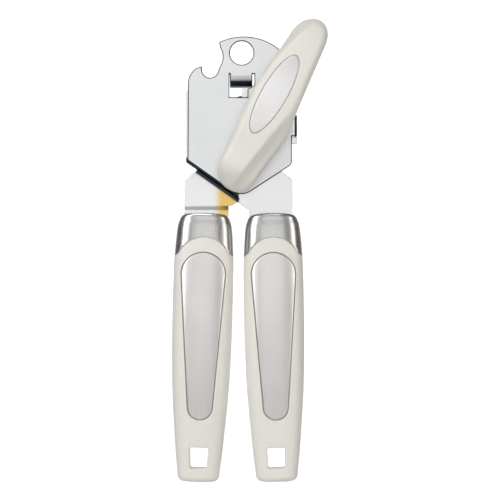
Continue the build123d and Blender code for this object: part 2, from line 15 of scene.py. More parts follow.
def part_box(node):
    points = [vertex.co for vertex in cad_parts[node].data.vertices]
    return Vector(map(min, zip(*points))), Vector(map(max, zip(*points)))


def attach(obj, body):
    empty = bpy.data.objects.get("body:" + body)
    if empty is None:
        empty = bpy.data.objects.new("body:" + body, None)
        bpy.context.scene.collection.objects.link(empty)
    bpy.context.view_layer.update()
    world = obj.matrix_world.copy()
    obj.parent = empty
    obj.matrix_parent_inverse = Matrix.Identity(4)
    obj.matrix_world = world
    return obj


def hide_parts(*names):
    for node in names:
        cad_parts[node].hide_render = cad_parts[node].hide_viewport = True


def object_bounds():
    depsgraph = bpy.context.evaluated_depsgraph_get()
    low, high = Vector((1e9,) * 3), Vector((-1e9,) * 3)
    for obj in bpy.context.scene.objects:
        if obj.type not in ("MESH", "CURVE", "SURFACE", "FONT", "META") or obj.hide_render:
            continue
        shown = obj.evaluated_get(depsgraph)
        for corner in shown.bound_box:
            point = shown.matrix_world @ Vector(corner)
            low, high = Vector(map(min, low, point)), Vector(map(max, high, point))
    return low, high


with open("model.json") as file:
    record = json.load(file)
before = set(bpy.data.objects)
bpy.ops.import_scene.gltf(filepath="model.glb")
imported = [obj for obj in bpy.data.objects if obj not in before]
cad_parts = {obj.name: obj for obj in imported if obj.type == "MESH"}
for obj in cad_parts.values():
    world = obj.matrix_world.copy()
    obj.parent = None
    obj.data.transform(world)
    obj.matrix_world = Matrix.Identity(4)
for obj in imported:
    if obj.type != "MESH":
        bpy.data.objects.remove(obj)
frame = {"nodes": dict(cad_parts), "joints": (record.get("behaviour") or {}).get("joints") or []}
cad_low, cad_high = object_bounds()
MM = 0.001
SHAFT = Vector(next(j["pos_m"] for j in frame["joints"] if j["name"] == "knob_spin"))


# ------------------------------------------------------------------ mesh helpers
MERGE_DISTANCE = 2e-6         # points nearer than this are one point
SPECK = 1e-7                  # edges shorter than this are collapsed


def smooth(edge0, edge1, x):
    """Smooth step from 0 at edge0 to 1 at edge1."""
    t = np.clip((np.asarray(x, float) - edge0) / (edge1 - edge0), 0, 1)
    return t * t * (3 - 2 * t)


def finish_mesh(mesh, sharp_deg):
    """Shade smooth, but keep the edges sharper than sharp_deg."""
    mesh.shade_smooth()
    mesh.set_sharp_from_angle(angle=math.radians(sharp_deg))


def mesh_object(name, verts, faces, sharp_deg=40):
    """A shaded mesh object; doubled points are merged and normals point outwards."""
    mesh = bpy.data.meshes.new(name)
    mesh.from_pydata([tuple(v) for v in verts], [], faces)
    bm = bmesh.new()
    bm.from_mesh(mesh)
    bmesh.ops.remove_doubles(bm, verts=bm.verts, dist=MERGE_DISTANCE)
    bmesh.ops.dissolve_degenerate(bm, edges=bm.edges, dist=SPECK)
    bmesh.ops.recalc_face_normals(bm, faces=bm.faces)
    bm.to_mesh(mesh)
    bm.free()
    finish_mesh(mesh, sharp_deg)
    obj = bpy.data.objects.new(name, mesh)
    bpy.context.scene.collection.objects.link(obj)
    return obj


def loops_object(name, loops, sharp_deg=40, cap_ends=False):
    """An object skinned over successive closed loops that all have the same number of points."""
    points = len(loops[0])
    faces = []
    for k in range(len(loops) - 1):
        a, b = k * points, (k + 1) * points
        for i in range(points):
            j = (i + 1) % points
            faces.append((a + i, a + j, b + j, b + i))
    if cap_ends:
        faces.append(tuple(range(points))[::-1])
        faces.append(tuple((len(loops) - 1) * points + i for i in range(points)))
    return mesh_object(name, np.vstack(loops), faces, sharp_deg)


def cut(obj, cutter, sharp_deg=35):
    """Take the cutter's solid out of obj, and drop the cutter."""
    mod = obj.modifiers.new("cut", "BOOLEAN")
    mod.operation, mod.solver, mod.object = "DIFFERENCE", "EXACT", cutter
    bpy.context.view_layer.update()
    evaluated = obj.evaluated_get(bpy.context.evaluated_depsgraph_get())
    mesh = bpy.data.meshes.new_from_object(evaluated)
    obj.modifiers.clear()
    obj.data = mesh
    finish_mesh(mesh, sharp_deg)
    bpy.data.objects.remove(cutter)


def tree_of(*names):
    """Ray-cast tree of CAD nodes at rest."""
    verts, faces = [], []
    for name in names:
        mesh = frame["nodes"][name].data
        start = len(verts)
        verts += [v.co.copy() for v in mesh.vertices]
        faces += [[start + i for i in p.vertices] for p in mesh.polygons]
    return BVHTree.FromPolygons(verts, faces)


# ------------------------------------------------------------------ material helpers
class Nodes:
    """A material's node tree with a Principled shader."""

    def __init__(self, name):
        self.material = bpy.data.materials.new(name)
        self.material.use_nodes = True
        self.tree = self.material.node_tree
        self.shader = self.tree.nodes["Principled BSDF"]

    def new(self, kind, **values):
        """A node, with values for its inputs by name, or else for its properties."""
        node = self.tree.nodes.new(kind)
        for key, value in values.items():
            if key in node.inputs.keys():
                node.inputs[key].default_value = value
            else:
                setattr(node, key, value)
        return node

    def link(self, source, target):
        self.tree.links.new(source, target)

    def set(self, **values):
        """Values for the shader's inputs, with _ for a space in a name."""
        for key, value in values.items():
            self.shader.inputs[key.replace("_", " ")].default_value = value

    def object_coords(self, scale=(1, 1, 1)):
        """Object coordinates, which are the frame's own on every piece here."""
        coords = self.new("ShaderNodeTexCoord")
        mapping = self.new("ShaderNodeMapping")
        mapping.inputs["Scale"].default_value = scale
        self.link(coords.outputs["Object"], mapping.inputs["Vector"])
        return mapping.outputs["Vector"]

    def noise(self, scale, stretch=(1, 1, 1), detail=4.0, roughness=0.55):
        """Noise over the object's coordinates, which are multiplied by stretch first."""
        node = self.new("ShaderNodeTexNoise", Scale=scale, Detail=detail, Roughness=roughness)
        self.link(self.object_coords(stretch), node.inputs["Vector"])
        return node.outputs["Fac"]

    def ramp(self, source, stops, mode="LINEAR"):
        """Colour ramp with stops of (position, (r, g, b))."""
        node = self.new("ShaderNodeValToRGB")
        node.color_ramp.interpolation = mode
        elements = node.color_ramp.elements
        while len(elements) < len(stops):
            elements.new(0.5)
        for element, (position, color) in zip(elements, stops):
            element.position = position
            element.color = (*color, 1)
        self.link(source, node.inputs["Fac"])
        return node.outputs["Color"]

    def spread(self, source, low, high):
        """Map a 0..1 value to low..high."""
        node = self.new("ShaderNodeMapRange")
        node.inputs["To Min"].default_value = low
        node.inputs["To Max"].default_value = high
        self.link(source, node.inputs["Value"])
        return node.outputs["Result"]

    def mix(self, a, b, factor, blend="MIX"):
        """Blend two colours, each a socket or an (r, g, b), by a factor that is a socket or a number."""
        node = self.new("ShaderNodeMix", data_type="RGBA", blend_type=blend)
        if isinstance(factor, (int, float)):
            node.inputs["Factor"].default_value = factor
        else:
            self.link(factor, node.inputs["Factor"])
        for value, slot in ((a, node.inputs[6]), (b, node.inputs[7])):
            if isinstance(value, tuple):
                slot.default_value = (*value, 1)
            else:
                self.link(value, slot)
        return node.outputs[2]

    def facing_y(self, low, high):
        """0 where the surface turns away from the plates' faces, 1 where it lies along them."""
        coords = self.new("ShaderNodeTexCoord")
        split = self.new("ShaderNodeSeparateXYZ")
        self.link(coords.outputs["Normal"], split.inputs["Vector"])
        size = self.new("ShaderNodeMath", operation="ABSOLUTE")
        self.link(split.outputs["Y"], size.inputs[0])
        step = self.new("ShaderNodeMapRange", interpolation_type="SMOOTHSTEP")
        step.inputs["From Min"].default_value = low
        step.inputs["From Max"].default_value = high
        self.link(size.outputs["Value"], step.inputs["Value"])
        return step.outputs["Result"]

    def beyond(self, direction, start, end):
        """0 to 1 as the distance along a direction from the origin goes from start to end."""
        coords = self.new("ShaderNodeTexCoord")
        dot = self.new("ShaderNodeVectorMath", operation="DOT_PRODUCT")
        dot.inputs[1].default_value = direction
        self.link(coords.outputs["Object"], dot.inputs[0])
        step = self.new("ShaderNodeMapRange", interpolation_type="SMOOTHSTEP")
        step.inputs["From Min"].default_value = start
        step.inputs["From Max"].default_value = end
        self.link(dot.outputs["Value"], step.inputs["Value"])
        return step.outputs["Result"]

    def both(self, *factors):
        """The product of 0..1 factors: 1 only where all of them are."""
        result = factors[0]
        for other in factors[1:]:
            product = self.new("ShaderNodeMath", operation="MULTIPLY")
            self.link(result, product.inputs[0])
            self.link(other, product.inputs[1])
            result = product.outputs["Value"]
        return result

    def bump(self, height, strength, distance):
        """Bump the shader's normal by a 0..1 height."""
        node = self.new("ShaderNodeBump", Strength=strength, Distance=distance)
        self.link(height, node.inputs["Height"])
        self.link(node.outputs["Normal"], self.shader.inputs["Normal"])


# ------------------------------------------------------------------ materials
WHITE = (1, 1, 1)
LENGTHWAYS = (1, 1, 0.03)     # stretches a noise into fine lines along Z
# near black for the plates' cut edges: their duller steel with painted dark reflection
EDGE_TONE_AND_PAINTED_SHADE = (0.03, 0.04, 0.07)
CUT_ROUGHNESS = (0.42, 0.42, 0.42)
MARK_DEPTH = 0.02 * MM        # depth of brush, rolling and turning marks
GRAIN_DEPTH = 0.03 * MM       # depth of the plastic's grain and of the shear marks


def brushed(name, color, dark, roughness, bump):
    """Steel with fine straight brush lines from top to bottom."""
    n = Nodes(name)
    n.set(Metallic=1.0)
    lines = n.noise(900.0, LENGTHWAYS, detail=5.0, roughness=0.7)
    cloud = n.noise(45.0, detail=2.0)
    tone = n.ramp(lines, [(0.25, dark), (0.75, color)])
    shade = n.ramp(cloud, [(0.3, (0.93, 0.93, 0.93)), (0.7, WHITE)])
    n.link(n.mix(tone, shade, 1.0, "MULTIPLY"), n.shader.inputs["Base Color"])
    n.link(n.spread(lines, roughness - 0.07, roughness + 0.09), n.shader.inputs["Roughness"])
    n.bump(lines, bump, MARK_DEPTH)
    return n.material


def polished(name, color, roughness, turn, patch=None):
    """Rolled and polished plate with faint rolling marks, smudges and pits, and darker sheared edges: their
    own duller tone with painted dark reflection, which also falls on bends.

    turn says between which |Y| parts of the normal the plate's face goes over into its cut edge or a bend,
    and so into the painted dark.
    patch is a function that says where another colour lies, and that colour.
    """
    n = Nodes(name)
    n.set(Metallic=0.86)
    rolling = n.noise(700.0, stretch=(1, 1, 0.04), detail=3.0)
    smudge = n.noise(60.0, detail=3.0)
    pits = n.noise(2600.0, detail=2.0)
    dull = tuple(c * 0.95 for c in color)
    flat = n.facing_y(*turn)
    # edges and bends take the near-black colour: painted dark reflection over the cut edges' own duller tone
    tone = n.mix(EDGE_TONE_AND_PAINTED_SHADE, n.ramp(smudge, [(0.35, dull), (0.65, color)]), flat)
    if patch:
        where, tint = patch
        tone = n.mix(tone, tint, where(n))
    n.link(tone, n.shader.inputs["Base Color"])
    wear = n.mix(n.spread(smudge, roughness - 0.05, roughness + 0.08),
                 n.spread(rolling, roughness - 0.04, roughness + 0.04), 0.4)
    n.link(n.mix(CUT_ROUGHNESS, wear, flat), n.shader.inputs["Roughness"])
    n.bump(n.mix(rolling, pits, 0.3), 0.06, MARK_DEPTH)
    return n.material


def moulded(name, color, shade):
    """Injection-moulded plastic: satin, with a very fine leather-like grain and slow tone changes."""
    n = Nodes(name)
    n.set(IOR=1.49, Subsurface_Weight=0.12, Subsurface_Scale=0.002)
    n.shader.inputs["Subsurface Radius"].default_value = (1.0, 0.8, 0.5)
    cloud = n.noise(28.0, detail=3.0)
    grain = n.noise(2300.0, detail=3.0, roughness=0.6)
    speck = n.noise(900.0, detail=1.0)
    tone = n.ramp(cloud, [(0.3, shade), (0.7, color)])
    fine = n.ramp(speck, [(0.3, (0.985, 0.985, 0.98)), (0.6, WHITE)])
    n.link(n.mix(tone, fine, 1.0, "MULTIPLY"), n.shader.inputs["Base Color"])
    n.link(n.spread(cloud, 0.36, 0.48), n.shader.inputs["Roughness"])
    n.bump(grain, 0.10, GRAIN_DEPTH)
    return n.material


def rim_steel_with_painted_shade(name):
    """The rounded, unpolished rim that blanking leaves round the head plate, painted near black: its own dull
    tone darkened by painted dark reflection along the outline.
    """
    n = Nodes(name)
    n.set(Metallic=1.0)
    streaks = n.noise(1500.0, stretch=(1, 0.1, 1), detail=3.0)
    # near-black navy: painted dark reflection over the rim's own dull steel
    tone = n.ramp(streaks, [(0.3, (0.018, 0.024, 0.05)), (0.7, (0.05, 0.065, 0.11))])
    n.link(tone, n.shader.inputs["Base Color"])
    n.link(n.spread(streaks, 0.36, 0.5), n.shader.inputs["Roughness"])
    n.bump(streaks, 0.15, GRAIN_DEPTH)
    return n.material


def turned_steel(name, color, roughness):
    """Machined steel with fine turning marks."""
    n = Nodes(name)
    n.set(Metallic=1.0)
    marks = n.noise(2200.0, stretch=(0.4, 1, 0.4), detail=3.0)
    oil = n.noise(150.0, detail=3.0)
    dark = tuple(c * 0.8 for c in color)
    n.link(n.ramp(oil, [(0.3, dark), (0.65, color)]), n.shader.inputs["Base Color"])
    n.link(n.spread(marks, roughness - 0.06, roughness + 0.10), n.shader.inputs["Roughness"])
    n.bump(marks, 0.10, MARK_DEPTH)
    return n.material


HEAD_CORNER = Vector((-24.7, 0, -48.9)) * MM      # lower left corner of the head plate
HEAD_TIP = Vector((-0.4, 0, -66.0)) * MM          # its lowest point
EDGE_ALONG = (HEAD_TIP - HEAD_CORNER).normalized()
EDGE_OUT = Vector((EDGE_ALONG.z, 0, -EDGE_ALONG.x))


def stop_shade(n):
    """Painted shade in the crevice beside the head plate's lower left edge, laid over the sheared stop flange
    too, whose dull cut face it darkens.
    """
    start = HEAD_CORNER.dot(EDGE_OUT)
    near = n.beyond(tuple(-EDGE_OUT), -start - 2.75 * MM, -start - 2.6 * MM)
    outside = n.beyond(tuple(EDGE_OUT), start - 1.0 * MM, start - 0.6 * MM)
    left = n.beyond((-1, 0, 0), 1.0 * MM, 1.6 * MM)
    low = n.beyond((0, 0, -1), 47.5 * MM, 48 * MM)
    return n.both(near, outside, left, low)


def painted_knob_reflection(n):
    """Painted warm reflection of the knob's cream lower end on the rear lever near the pivot."""
    return n.both(n.beyond((1, 0, 0), -13 * MM, -9 * MM), n.beyond((-1, 0, 0), 0, 4 * MM),
                  n.beyond((0, 0, -1), 56 * MM, 62 * MM), n.beyond((0, -1, 0), -5 * MM, -4.5 * MM))


LEVER_STEEL = (0.76, 0.76, 0.76)
KNOB_REFLECTION_TINT, STOP_PAINTED_SHADE = (0.72, 0.50, 0.16), (0.03, 0.035, 0.045)
PLATE = polished("polished_plate", (0.75, 0.76, 0.76), 0.32, (0.80, 0.95))
RIM_AND_PAINTED_OUTLINE = rim_steel_with_painted_shade("blanked_rim_painted_dark")
# the rear lever carries a painted reflection of the knob near the pivot
REAR_LEVER = polished("polished_rear_lever", LEVER_STEEL, 0.24, (0.62, 0.96), (painted_knob_reflection, KNOB_REFLECTION_TINT))
# the front lever carries painted shade in the crevice and on the stop flange beside the head plate
FRONT_LEVER = polished("polished_front_lever", LEVER_STEEL, 0.24, (0.5, 0.76), (stop_shade, STOP_PAINTED_SHADE))
FERRULE = brushed("brushed_ferrule", (0.64, 0.635, 0.62), (0.50, 0.495, 0.485), 0.27, 0.05)
BADGE = brushed("satin_badge", (0.93, 0.925, 0.915), (0.88, 0.87, 0.86), 0.40, 0.03)
SATIN = brushed("satin_inlay", (0.80, 0.785, 0.765), (0.74, 0.725, 0.70), 0.38, 0.03)
CREAM = moulded("cream_plastic", (0.81, 0.80, 0.745), (0.795, 0.78, 0.72))
BRIGHT = turned_steel("bright_steel", (0.62, 0.62, 0.61), 0.28)
HARD = turned_steel("hard_steel", (0.45, 0.45, 0.45), 0.33)


def dress(obj, material):
    """Give a drawn piece its one material."""
    obj.data.materials.clear()
    obj.data.materials.append(material)


# the CAD nodes that stay in view, with each one's material and the width of its broken edges in mm
CAD_LOOKS = {
    "front_plate": (PLATE, 0.45), "left_lever": (REAR_LEVER, 0.25), "right_lever": (FRONT_LEVER, 0.25),
    "pivot_rivet": (BRIGHT, 0.2), "pivot_washer": (BRIGHT, 0.1), "shaft_bushing": (BRIGHT, 0.12),
    "cutter_stud": (BRIGHT, 0.12), "cutter_washer": (BRIGHT, 0.08), "cutter_wheel": (HARD, 0.05),
    "drive_shaft": (BRIGHT, 0.12), "feed_wheel": (HARD, 0.10), "feed_nut": (BRIGHT, 0.25),
    "thrust_washer": (BRIGHT, 0.05), "knob_screw": (BRIGHT, 0.1),
    "left_tang_screws": (BRIGHT, 0.1), "right_tang_screws": (BRIGHT, 0.1),
}


def finish_cad(name, material, edge):
    """Give a CAD node its material and break its sharp edges, as tumbling does on the real part."""
    node = frame["nodes"][name]
    materials = node.data.materials
    for index in range(len(materials)):
        materials[index] = material
    weld = node.modifiers.new("weld", "WELD")
    weld.merge_threshold = 1e-6
    flat = node.modifiers.new("flat", "DECIMATE")
    flat.decimate_type = "DISSOLVE"
    flat.angle_limit = math.radians(0.8)
    bevel = node.modifiers.new("edge", "BEVEL")
    bevel.width = edge * MM
    bevel.segments = 3
    bevel.use_clamp_overlap = False
    bevel.limit_method = "ANGLE"
    bevel.angle_limit = math.radians(32)
    # the head plate's bevels take the near-black rim: its dull cut steel with a painted dark outline
    if material is PLATE:
        materials.append(RIM_AND_PAINTED_OUTLINE)
        bevel.material = len(materials) - 1
    normal = node.modifiers.new("normal", "WEIGHTED_NORMAL")
    normal.keep_sharp = False
    normal.weight = 100


for cad_name, (cad_material, edge_width) in CAD_LOOKS.items():
    finish_cad(cad_name, cad_material, edge_width)


# ------------------------------------------------------------------ handles
BODY_OF_SIDE = {"left": "head", "right": "right_handle"}
SECTION_POWER = 2.8           # roundness of a handle's cross-section
RING = 112                    # points round a handle
INLAY_TOP, INLAY_TOP_R = 16.6 * MM, 10.35 * MM
INLAY_BOTTOM, INLAY_BOTTOM_R = 93.1 * MM, 5.9 * MM
INLAY_GAP, INLAY_SUNK, INLAY_T = 0.40 * MM, 0.14 * MM, 0.8 * MM
POCKET_ROOM = 0.9 * MM        # how much deeper than the inlay its pocket is
POCKET_CLEAR = 1.5 * MM       # how far a pocket's cutter reaches out of the surface
POCKET_RIM, INLAY_RIM = 0.30 * MM, 0.22 * MM          # radii of the rims on either side of the gap
FERRULE_T, FERRULE_PROUD = 0.55 * MM, 0.07 * MM
FERRULE_CROWN, FERRULE_SIDE = 9.9 * MM, 16.6 * MM     # how far down its edge's arch is, middle and ends
EDGE_INNER, EDGE_OUTER = 11.0 * MM, 13.4 * MM         # where the arch ends, where the handle does
EDGE_DROP = 2.0 * MM          # what the edge falls between those two
EDGE_NEAR = 16 * MM           # the handle's section here gives the edge's place across
FERRULE_DOME = 1.3 * MM       # how much higher the mouth is at the front and the back
FERRULE_MOUTH = 0.25 * MM     # from the handle's top to the mouth
FERRULE_ROLL = 6.4 * MM       # from the mouth to where the dome has faded out
FERRULE_SWELL = 2 * MM        # from the mouth to where it stands fully proud of the grip
SHOULDER, SHOULDER_IN = 4.2 * MM, 1.5 * MM            # length and depth of the narrowing at the top
LIP, LIP_IN = 1.7 * MM, 1.1 * MM                      # the same from front to back
END_HOLE = (105.6 * MM, 115.4 * MM)           # its top and bottom, down the handle
END_HOLE_HALVES = (4.15 * MM, 3.8 * MM)       # half its width there
END_HOLE_CORNER, END_HOLE_RIM = 0.9 * MM, 0.75 * MM   # radii of its corners and of its rims
HANDLE_END_ROUND = 3.4 * MM   # length of the rounding at the grip's end
END_POWER = 2.3               # roundness of that end
CLEAR = 2 * MM                # how far the end hole's cutter reaches out of the surface
LENGTH_SHARE = 0.9988         # keeps the rounded end inside the CAD box
FIRST_STATION = 2.2 * MM      # the first place below the top where the handle is measured
PLAIN = 25 * MM               # this far from its ends the cross-section is plain
DEPTH_AT = 0.42               # share of the half width at which the depth is measured, past the end hole
OUTSIDE = 40 * MM             # how far off the measuring rays start


class Handle:
    """One handle's axis and its smooth outer form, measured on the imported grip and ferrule."""

    def __init__(self, side):
        self.side = side
        self.tree = tree_of(f"{side}_grip", f"{side}_ferrule")
        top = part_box(f"{side}_ferrule")[1].z
        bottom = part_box(f"{side}_grip")[0].z
        self.y = (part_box(f"{side}_grip")[0].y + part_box(f"{side}_grip")[1].y) / 2
        upper, lower = top - PLAIN, bottom + PLAIN
        x_upper, x_lower = self.middle_at(upper), self.middle_at(lower)
        slope = (x_lower - x_upper) / (lower - upper)
        self.down = Vector((-slope, 0, -1)).normalized()
        self.across = Vector((-self.down.z, 0, self.down.x))
        self.origin = Vector((x_upper + slope * (top - upper), self.y, top))
        self.length = (top - bottom) / -self.down.z * LENGTH_SHARE
        self.stations = np.linspace(FIRST_STATION, self.length - HANDLE_END_ROUND * 1.2, 60)
        self.widths = np.array([self.half_width(s) for s in self.stations])
        self.depths = np.array([self.half_depth(s, w) for s, w in zip(self.stations, self.widths)])

    def hit(self, start, direction):
        """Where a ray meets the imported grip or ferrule."""
        return self.tree.ray_cast(start, direction)[0]

    def middle_at(self, z):
        """x of the middle of the cross-section at height z."""
        box_low, box_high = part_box(f"{self.side}_grip")
        left = self.hit(Vector((box_low.x - OUTSIDE, self.y, z)), Vector((1, 0, 0)))
        right = self.hit(Vector((box_high.x + OUTSIDE, self.y, z)), Vector((-1, 0, 0)))
        return (left.x + right.x) / 2

    def half_width(self, s):
        """Half the width at s, square to the handle's axis."""
        centre = self.origin + self.down * s
        a = self.hit(centre + self.across * OUTSIDE, -self.across)
        b = self.hit(centre - self.across * OUTSIDE, self.across)
        return (a - b).dot(self.across) / 2

    def half_depth(self, s, width):
        """Half the depth at s, measured on the back, where no inlay is let in."""
        start = self.origin + self.down * s + self.across * width * DEPTH_AT + Vector((0, OUTSIDE, 0))
        return self.hit(start, Vector((0, -1, 0))).y - self.y

    def size(self, s):
        """Half width and half depth at s, with the shoulder at the top and the rounded end."""
        s = np.asarray(s, float)
        w = np.interp(s, self.stations, self.widths) - SHOULDER_IN * np.clip(1 - s / SHOULDER, 0, 1) ** 3.2
        d = np.interp(s, self.stations, self.depths) - LIP_IN * np.clip(1 - s / LIP, 0, 1) ** 2.4
        t = np.clip((s - (self.length - HANDLE_END_ROUND)) / HANDLE_END_ROUND, 0, 1)
        closed = HANDLE_END_ROUND * (1 - (1 - t ** END_POWER) ** (1 / END_POWER))
        return w - 1.25 * closed, d - 1.05 * closed

    def drop(self, x, s):
        """Share of the half depth that the surface has at x across the handle."""
        w, _ = self.size(s)
        q = np.clip(np.abs(x) / w, 0, 1) ** SECTION_POWER
        return (1 - q) ** (1 / SECTION_POWER)

    def front(self, x, s, depth=0.0, back=False):
        """Point on the front (or back) surface at x across and s down, moved inwards by depth."""
        _, d = self.size(s)
        reach = d * self.drop(x, s) - depth
        return self.place(x, s, self.y + reach if back else self.y - reach)

    def place(self, x, s, y):
        """Points at x across the handle, s down it and y in the frame."""
        point = np.array(self.origin)[None] + np.outer(x, self.across) + np.outer(s, self.down)
        point[:, 1] = y
        return point

    def ring(self, s, inset=0.0):
        """A closed loop round the handle; s may differ from point to point."""
        w, d = self.size(s)
        x, y = (w - inset) * AROUND[0], (d - inset) * AROUND[1]
        return self.place(x, np.broadcast_to(s, x.shape), self.y + y)


TURN = np.linspace(0, 2 * math.pi, RING, endpoint=False)
# the cross-section's shape, across and from back to front, for half a width and depth of 1
AROUND = [np.sign(part) * np.abs(part) ** (2 / SECTION_POWER) for part in (np.cos(TURN), np.sin(TURN))]
# extra height of the ferrule's mouth round the ring: most at the middle of front and back
MOUTH_DOME = FERRULE_DOME * np.abs(np.sin(TURN)) ** 1.5


def ferrule_edge(handle):
    """How far down the ferrule's scalloped lower edge is at each point of a ring."""
    w, _ = handle.size(EDGE_NEAR)
    x = np.abs(w * AROUND[0])
    rise = FERRULE_SIDE - FERRULE_CROWN
    radius = (EDGE_INNER ** 2 + rise ** 2) / (2 * rise)
    arch = FERRULE_CROWN + radius - np.sqrt(radius ** 2 - np.minimum(x, EDGE_INNER) ** 2)
    return arch + EDGE_DROP * np.clip((x - EDGE_INNER) / (EDGE_OUTER - EDGE_INNER), 0, 1) ** 0.7


def spine_loop(top, top_r, bottom, bottom_r, count=72):
    """Outline of a tapered oval: its points, and the point of its spine that each one belongs to."""
    start, end = top + top_r, bottom - bottom_r
    arc = np.linspace(math.pi, 0, count // 2)
    run = np.linspace(0, 1, count)[1:-1]
    side_x, side_s = top_r + (bottom_r - top_r) * run, start + (end - start) * run
    x = np.concatenate([top_r * np.cos(arc), side_x, bottom_r * np.cos(arc[::-1]), -side_x[::-1]])
    s = np.concatenate([start - top_r * np.sin(arc), side_s, end + bottom_r * np.sin(arc), side_s[::-1]])
    spine = np.clip(s, start, end)
    return x, s, spine


FANS = (0.0, 0.2, 0.4, 0.6, 0.78, 0.9)       # shares at which loops fill the inside of an outline


def scaled(outline, share):
    """The outline drawn in towards its spine to a share of its size."""
    x, s, spine = outline
    return x * share, spine + (s - spine) * share


def inset_by(outline, distance):
    """The outline moved towards its spine by a distance."""
    x, s, spine = outline
    return scaled(outline, 1 - distance / np.hypot(x, s - spine))


def rim_profile(radius, steps=6):
    """(outward, depth) pairs of a rounded rim, from the surface down into the wall."""
    angles = np.radians(np.linspace(12, 90, steps))
    return [(radius * (1 - math.sin(a)), radius * (1 - math.cos(a))) for a in angles]


def make_grip(handle):
    """The plastic grip, from its neck inside the ferrule to its end, as rings at s with an inset."""
    edge = ferrule_edge(handle)
    under = FERRULE_T + 0.12 * MM           # the neck inside the ferrule
    rows = [(edge * share, under) for share in np.linspace(0.10, 0.985, 8)]
    # the shoulder that comes up to the ferrule's edge
    rows += [(edge - 0.10 * MM, under), (edge - 0.04 * MM, 0.22 * MM), (edge + 0.12 * MM, 0.05 * MM)]
    # from the scallops to a level ring, straight down, and round the end
    first, level = edge + 0.35 * MM, 27 * MM
    rows += [(first + (level - first) * share, 0.0) for share in np.linspace(0, 1, 15)]
    end = handle.length - HANDLE_END_ROUND
    rows += [(np.full(RING, s), 0.0) for s in np.linspace(level, end, 64)[1:]]
    rows += [(np.full(RING, end + HANDLE_END_ROUND * math.sin(a)), 0.0)
             for a in np.linspace(0, math.pi / 2, 12)[1:]]
    loops = [handle.ring(s, inset) for s, inset in rows]
    last = handle.ring(np.full(RING, handle.length))
    centre = last.mean(axis=0)
    loops += [centre + (last - centre) * share for share in (0.85, 0.6, 0.3, 0.05)]
    grip = loops_object(f"{handle.side}_grip_body", loops, 30, cap_ends=True)
    cut(grip, inlay_cutter(handle))
    cut(grip, end_hole_cutter(handle), 32)
    dress(grip, CREAM)
    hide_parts(f"{handle.side}_grip")
    return grip


INLAY_OUTLINE = spine_loop(INLAY_TOP, INLAY_TOP_R, INLAY_BOTTOM, INLAY_BOTTOM_R)


def inlay_cutter(handle):
    """The inlay's pocket in the grip, with a rounded rim."""
    rim = rim_profile(POCKET_RIM)
    out, floor = -POCKET_CLEAR, INLAY_T + POCKET_ROOM
    loops = [handle.front(*scaled(INLAY_OUTLINE, f), out) for f in FANS]
    loops.append(handle.front(*inset_by(INLAY_OUTLINE, -rim[0][0]), out))
    loops += [handle.front(*inset_by(INLAY_OUTLINE, -wider), depth) for wider, depth in rim]
    loops += [handle.front(*scaled(INLAY_OUTLINE, f), floor) for f in (1, *FANS[::-1])]
    return loops_object("inlay_cutter", loops)


def make_inlay(handle):
    """The satin plate that lies just below the grip's surface, with a fine gap round it."""
    bottom = INLAY_SUNK + INLAY_T
    loops = [handle.front(*scaled(INLAY_OUTLINE, f), INLAY_SUNK) for f in FANS]
    loops += [handle.front(*inset_by(INLAY_OUTLINE, INLAY_GAP + inset), INLAY_SUNK + depth)
              for inset, depth in rim_profile(INLAY_RIM)]
    loops.append(handle.front(*inset_by(INLAY_OUTLINE, INLAY_GAP), bottom))
    loops += [handle.front(*scaled(INLAY_OUTLINE, f), bottom) for f in FANS[::-1]]
    inlay = loops_object(f"{handle.side}_inlay_plate", loops)
    dress(inlay, SATIN)
    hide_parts(f"{handle.side}_inlay")
    return inlay


def rounded_box(half_top, half_bottom, low, high, radius, grow, arc=7):
    """Closed outline of a tapered box with rounded corners, widened by grow: x and s."""
    r = radius + grow
    corners = [(half_top, low, -90), (half_bottom, high, 0), (-half_bottom, high, 90), (-half_top, low, 180)]
    xs, ss = [], []
    for x, s, first in corners:
        cx = x - math.copysign(radius, x)
        cs = s + radius if s == low else s - radius
        for a in np.radians(np.linspace(first, first + 90, arc)):
            xs.append(cx + r * math.cos(a))
            ss.append(cs + r * math.sin(a))
    return np.array(xs), np.array(ss)


def end_hole_cutter(handle):
    """The hanging hole right through the grip's end, with both rims well rounded."""
    def outline(grow):
        return rounded_box(*END_HOLE_HALVES, *END_HOLE, END_HOLE_CORNER, grow)

    rim = rim_profile(END_HOLE_RIM, 8)
    loops = [handle.front(*outline(rim[0][0]), -CLEAR)]
    loops += [handle.front(*outline(wider), depth) for wider, depth in rim]
    loops += [handle.front(*outline(wider), depth, back=True) for wider, depth in rim[::-1]]
    loops.append(handle.front(*outline(rim[0][0]), -CLEAR, back=True))
    return loops_object("end_hole_cutter", loops, cap_ends=True)


